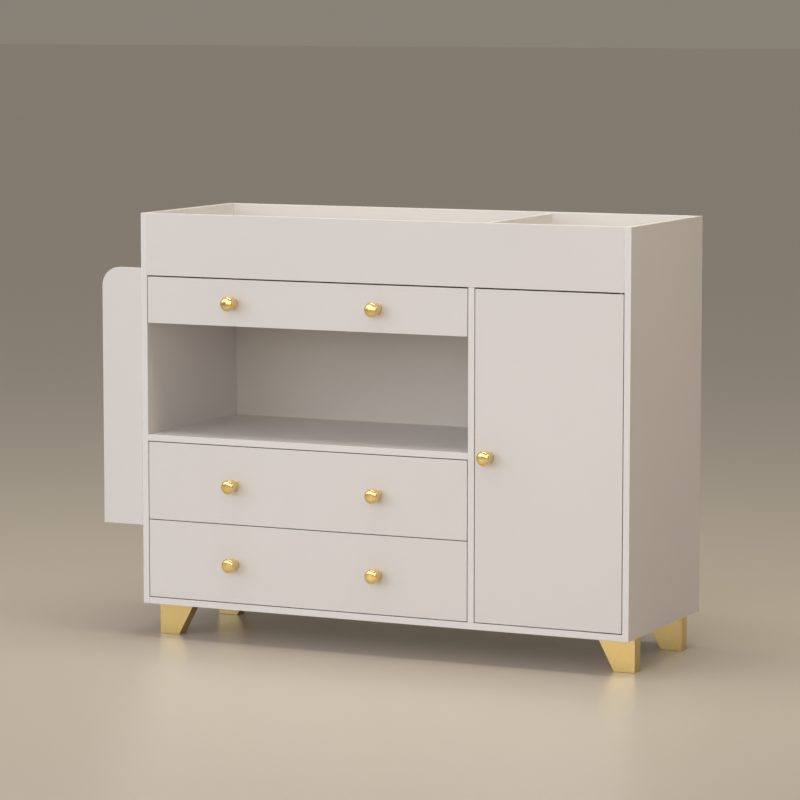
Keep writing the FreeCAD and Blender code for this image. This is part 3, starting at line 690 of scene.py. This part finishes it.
def setOut(name, master, starts, finish, facing=(0, 0, 0), count=1, step=(0, 0, 0), twist=0.0, seed=1):
    # evaluates the rows tree on the starting points and returns one plain mesh
    if master.name not in masters:
        masters[master.name] = bpy.data.objects.new(master.name + "Master", master)
    points = bpy.data.meshes.new(name)
    points.from_pydata([tuple(start) for start in starts], [], [])
    holder = bpy.data.objects.new(name + "Rows", points)
    bpy.context.scene.collection.objects.link(holder)
    modifier = holder.modifiers.new("rows", "NODES")
    modifier.node_group = rowsTree
    values = {"Copy": masters[master.name], "Count": count, "Step": step, "Facing": facing, "Twist": twist,
              "Seed": seed, "Finish": finish}
    for item in rowsTree.interface.items_tree:
        if item.in_out == "INPUT" and item.name in values:
            modifier[item.identifier] = values[item.name]
    evaluated = holder.evaluated_get(bpy.context.evaluated_depsgraph_get())
    mesh = bpy.data.meshes.new_from_object(evaluated)
    bpy.data.objects.remove(holder)
    return mesh


faceFront = (math.radians(90), 0, 0)
faceBack = (math.radians(-90), 0, 0)
faceDown = (math.radians(180), 0, 0)
faceUp = (0, 0, 0)
faceRight = (0, math.radians(90), 0)
faceLeft = (0, math.radians(-90), 0)


# Boards of the cabinet.

carcass = {
    "round": 0.8, "segments": 3, "tape": 15,
    "nodes": ("side_panel_left", "side_panel_right", "bottom_panel", "partition", "niche_shelf",
              "niche_ceiling", "tray_floor", "front_rail", "back_rail", "tray_divider", "cupboard_shelves",
              "side_shelf_front_panel", "side_shelf_rear_panel", "side_shelf_boards", "side_shelf_lips"),
}
for boardNode in carcass["nodes"]:
    boardPiece(boardNode, carcass, whiteLacquer, "cabinet")
print("cabinet boards made")

backSheet = {"round": 0.4, "segments": 1, "sink": 0.4}


def makeBackSheet():
    # the sheet lies a little inside the rear edges, so that its nails stay inside them too
    shape = nodeShape("back_panel")
    rear = max(vertex.co.y for vertex in shape.verts)
    for vertex in shape.verts:
        if vertex.co.y > rear - 0.1 * mm:
            vertex.co.y -= backSheet["sink"] * mm
    softenEdges(shape, backSheet["round"], backSheet["segments"])
    placePiece("back_sheet", meshFrom(shape, "back_sheet"), paintedHardboard, "cabinet",
               ["back_panel"])


nails = {"head": 3.4, "tall": 0.38, "under": 0.3, "edge": 7, "gapAcross": 116, "gapUp": 124, "sides": 12}


def makeNails():
    head, tall = nails["head"], nails["tall"]
    profile = [(0.9 * head, -nails["under"]), (head, 0.0), (0.9 * head, 0.6 * tall), (0.5 * head, tall)]
    shape, top = latheShape(profile, nails["sides"])
    shape.faces.new(top)
    markBand(shape, 0.0, tall)
    master = meshFrom(shape, "nailHead")
    low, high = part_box("back_panel")
    inset = nails["edge"] * mm
    rear = high[1] - backSheet["sink"] * mm
    acrossCount = int((high[0] - low[0] - 2 * inset) / (nails["gapAcross"] * mm)) + 1
    upCount = int((high[2] - low[2] - 2 * inset) / (nails["gapUp"] * mm)) + 1
    acrossStep = (high[0] - low[0] - 2 * inset) / (acrossCount - 1)
    upStep = (high[2] - low[2] - 2 * inset) / upCount
    rows = [(low[0] + inset, rear, low[2] + inset), (low[0] + inset, rear, high[2] - inset)]
    across = setOut("nailsAcross", master, rows, zincSteel, faceBack, acrossCount, (acrossStep, 0, 0))
    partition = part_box("partition")
    middle = (partition[0][0] + partition[1][0]) / 2
    columns = [(x, rear, low[2] + inset + upStep) for x in (low[0] + inset, middle, high[0] - inset)]
    upward = setOut("nailsUp", master, columns, zincSteel, faceBack, upCount - 1, (0, 0, upStep))
    placePiece("back_nails_level", across, zincSteel, "cabinet")
    placePiece("back_nails_upright", upward, zincSteel, "cabinet")


makeBackSheet()
makeNails()
print("back made")


# Legs.

legs = {
    "round": 1.1, "segments": 3,
    "nodes": ("leg_front_left", "leg_front_right", "leg_rear_left", "leg_rear_right"),
}
for legNode in legs["nodes"]:
    boardPiece(legNode, legs, legGold, "cabinet")

legBolts = {"length": 45, "shank": 3.0, "pitch": 2.0, "head": 6.0, "tall": 3.0, "sides": 36, "drive": "hex",
            "reach": 2.6, "sink": 1.8}


def makeLegBolts():
    # each bolt's head lies on the bottom panel
    master = screwMaster("legBolt", legBolts)
    starts = [((low.x + high.x) / 2, (low.y + high.y) / 2, high.z - legBolts["tall"] * mm)
              for low, high in solidBoxes("leg_bolts")]
    mesh = setOut("legBolts", master, starts, zincSteel, faceUp, twist=1.0, seed=3)
    placePiece("leg_bolts_turned", mesh, zincSteel, "cabinet", ["leg_bolts"])


makeLegBolts()
print("legs made")


# Drawers.

drawerFront = {"round": 0.9, "segments": 3}
drawerBox = {"round": 0.5, "segments": 2, "tape": 12}
drawerFloor = {"round": 0.3, "segments": 1}
for drawer in drawers:
    boardPiece(drawer + "_front", drawerFront, whiteLacquer, drawer)
    for part in ("_side_left", "_side_right", "_back"):
        boardPiece(drawer + part, drawerBox, drawerMelamine, drawer)
    boardPiece(drawer + "_bottom", drawerFloor, paintedHardboard, drawer)
print("drawers made")


# Door.

boardPiece("door_panel", drawerFront, whiteLacquer, "door")


# Knobs, turned from one profile: radius and distance from the front.

knob = {
    "profile": ((13.3, 0.0), (13.3, 1.0), (13.1, 1.6), (12.75, 2.2), (12.8, 4.0), (13.2, 8.0),
                (14.0, 14.0), (15.0, 20.0), (15.9, 25.0), (16.45, 28.6), (16.2, 31.0), (15.0, 33.2),
                (12.4, 34.8), (8.0, 35.7), (3.5, 35.97), (1.2, 36.0)),
    "steps": 4, "sides": 64, "rimFrom": 27.5, "rimTo": 34.0,
}


def withDoor(ending, doorNode):
    return [(drawer + ending, drawer) for drawer in drawers] + [(doorNode, "door")]


def makeKnobs():
    shape, top = latheShape(smoothProfile(knob["profile"], knob["steps"]), knob["sides"])
    cap = shape.faces.new(top)
    cap.smooth = True
    # the rounded rim gets the brighter edge gold: rubbed brass and a painted highlight
    markBand(shape, knob["rimFrom"], knob["rimTo"])
    master = meshFrom(shape, "turnedKnob")
    for node, body in withDoor("_knobs", "door_knob"):
        starts = [((low.x + high.x) / 2, high.y, (low.z + high.z) / 2) for low, high in solidBoxes(node)]
        mesh = setOut(node + "Turned", master, starts, knobGold, faceFront)
        placePiece(node + "_turned", mesh, knobGold, body, [node])


knobScrews = {"length": 28, "shank": 2.0, "pitch": 0.8, "head": 4.0, "tall": 2.5, "sides": 40,
              "drive": "cross", "reach": 2.3, "sink": 1.4}


def makeKnobScrews():
    master = screwMaster("knobScrew", knobScrews)
    for node, body in withDoor("_knob_screws", "door_knob_screw"):
        starts = [((low.x + high.x) / 2, high.y - knobScrews["tall"] * mm, (low.z + high.z) / 2)
                  for low, high in solidBoxes(node)]
        mesh = setOut(node + "Turned", master, starts, zincSteel, faceBack, twist=1.5, seed=7)
        placePiece(node + "_turned", mesh, zincSteel, body, [node])


makeKnobs()
makeKnobScrews()
print("knobs and their screws made")


# Joint hardware.

cams = {"radius": 7.5, "tall": 12, "foot": 0.4, "rim": 6.7, "rimRound": 0.3, "faceDown": 0.5, "sides": 40,
        "drive": "cross", "reach": 4.2, "sink": 2.6}


def makeCams():
    # a cam seen from below: a rim, a sunk face and a cross for the driver
    radius, tall, foot = cams["radius"], cams["tall"], cams["foot"]
    rim, soft, face = cams["rim"], cams["rimRound"], -cams["faceDown"]
    profile = [(radius - foot, -tall), (radius, -tall + foot), (radius, -soft), (radius - soft, 0.0),
               (rim, 0.0), (rim - soft, face)]
    shape, top = latheShape(profile, cams["sides"])
    closeWithRecess(shape, top, face, cams["drive"], cams["reach"], cams["sink"])
    markBand(shape, face - 0.1, 0.1)
    master = meshFrom(shape, "camLock")
    starts = [((low.x + high.x) / 2, (low.y + high.y) / 2, low.z) for low, high in solidBoxes("cam_locks")]
    mesh = setOut("camLocks", master, starts, castZinc, faceDown, twist=0.6, seed=11)
    placePiece("cam_locks_cast", mesh, castZinc, "cabinet", ["cam_locks"])


shelfPins = {"radius": 2.5, "length": 18, "sides": 24}


def makeShelfPins():
    # the tip that stands out of the board is rounded and has a groove behind it
    radius, length = shelfPins["radius"], shelfPins["length"]
    profile = [(0.8 * radius, 0.0), (radius, 0.4), (radius, length - 4.0), (0.86 * radius, length - 3.6),
               (0.86 * radius, length - 3.2), (radius, length - 2.8), (radius, length - 0.9),
               (0.86 * radius, length - 0.25), (0.4 * radius, length)]
    shape, top = latheShape(profile, shelfPins["sides"])
    shape.faces.new(top)
    markBand(shape, length - 1.0, length)
    master = meshFrom(shape, "shelfPin")
    boxes = solidBoxes("shelf_pins")
    middle = sum(low.x + high.x for low, high in boxes) / (2 * len(boxes))
    sides = (("left", faceRight, [box for box in boxes if box[0].x < middle], 0),
             ("right", faceLeft, [box for box in boxes if box[0].x > middle], 1))
    for name, facing, mine, end in sides:
        starts = [(box[end].x, (box[0].y + box[1].y) / 2, (box[0].z + box[1].z) / 2) for box in mine]
        mesh = setOut("pins" + name, master, starts, zincSteel, facing)
        placePiece("shelf_pins_" + name, mesh, zincSteel, "cabinet",
                   ["shelf_pins"] if name == "left" else ())


def finishNodes(names, finish):
    # CAD nodes whose shape is right keep it and get a better finish
    for name in names:
        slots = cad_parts[name].data.materials
        slots.clear()
        slots.append(finish)


makeCams()
makeShelfPins()
finishNodes(("cam_bolts", "cabinet_pivot_plates"), zincSteel)
finishNodes(("rail_dowels", "side_shelf_dowels"), beech)
print("joint hardware made")


# Runners.

runner = {"round": 0.25, "segments": 2, "ballRadius": 1.3, "pitch": 4.2, "count": 14, "inset": 12,
          "outside": 1.5, "inside": 2.7}


def makeRunners():
    boardPiece("runner_cabinet_members", runner, zincSteel, "cabinet")
    for drawer in drawers:
        boardPiece(drawer + "_runner_carriages", runner, zincSteel, drawer + "_carriages")
        boardPiece(drawer + "_runner_members", runner, zincSteel, drawer)


def makeBalls():
    # rows of balls above and below each carriage, near its two ends
    shape = bmesh.new()
    bmesh.ops.create_icosphere(shape, subdivisions=2, radius=runner["ballRadius"] * mm)
    for face in shape.faces:
        face.smooth = True
    markBand(shape, -1, 1)
    master = meshFrom(shape, "runnerBall")
    span = runner["pitch"] * (runner["count"] - 1)
    outside, inside = runner["outside"] * mm, runner["inside"] * mm
    for drawer in drawers:
        starts = []
        for low, high in solidBoxes(drawer + "_runner_carriages"):
            x = (low.x + high.x) / 2
            for y in (low.y + runner["inset"] * mm, high.y - (runner["inset"] + span) * mm):
                starts += [(x, y, low.z - outside), (x, y, high.z + outside),
                           (x, y, low.z + inside), (x, y, high.z - inside)]
        mesh = setOut(drawer + "Balls", master, starts, zincSteel, faceUp, runner["count"],
                      (0, runner["pitch"] * mm, 0))
        placePiece(drawer + "_runner_balls", mesh, zincSteel, drawer + "_carriages")


makeRunners()
makeBalls()
print("runners made")


# Door fittings.

pivotPlate = {"round": 0.3, "segments": 2}
boardPiece("door_pivot_plates", pivotPlate, zincSteel, "door")

catch = {
    "round": 0.9, "segments": 3,
    "poles": (0.3, 0.7), "poleWide": 2.2, "poleTall": 20, "poleOut": 0.4, "poleIn": 2, "poleRound": 0.25,
    "strike": 11, "strikeThick": 0.45, "strikeRim": 0.4, "strikeAside": 4, "strikeSides": 48,
    "drive": "cross", "reach": 2.2, "sink": 0.3,
}


def addBlock(shape, low, high):
    made = bmesh.ops.create_cube(shape, size=1.0)
    for vertex in made["verts"]:
        for axis in range(3):
            share = vertex.co[axis] + 0.5
            vertex.co[axis] = low[axis] + share * (high[axis] - low[axis])


def makeCatch():
    low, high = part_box("door_catch")
    boardPiece("door_catch", catch, catchPlastic, "cabinet")
    middle = (low[2] + high[2]) / 2
    halfWide, halfTall = catch["poleWide"] * mm / 2, catch["poleTall"] * mm / 2
    shape = bmesh.new()
    for share in catch["poles"]:
        x = low[0] + share * (high[0] - low[0])
        addBlock(shape, (x - halfWide, low[1] - catch["poleOut"] * mm, middle - halfTall),
                 (x + halfWide, low[1] + catch["poleIn"] * mm, middle + halfTall))
    softenEdges(shape, catch["poleRound"], 2, 1.0)
    placePiece("catch_poles", meshFrom(shape, "catch_poles"), zincSteel, "cabinet")
    radius, thick = catch["strike"], catch["strikeThick"]
    profile = [(radius, 0.0), (radius, 0.6 * thick), (radius - catch["strikeRim"], thick)]
    disc, top = latheShape(profile, catch["strikeSides"])
    closeWithRecess(disc, top, thick, catch["drive"], catch["reach"], catch["sink"])
    markBand(disc, 0.1, 1.0)
    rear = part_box("door_panel")[1][1]
    spot = ((low[0] + high[0]) / 2 + catch["strikeAside"] * mm, rear, middle)
    mesh = setOut("catchStrike", meshFrom(disc, "strikeDisc"), [spot], zincSteel, faceBack)
    placePiece("catch_strike", mesh, zincSteel, "door")


makeCatch()
print("door fittings made")

for master in masters.values():
    bpy.data.objects.remove(master)
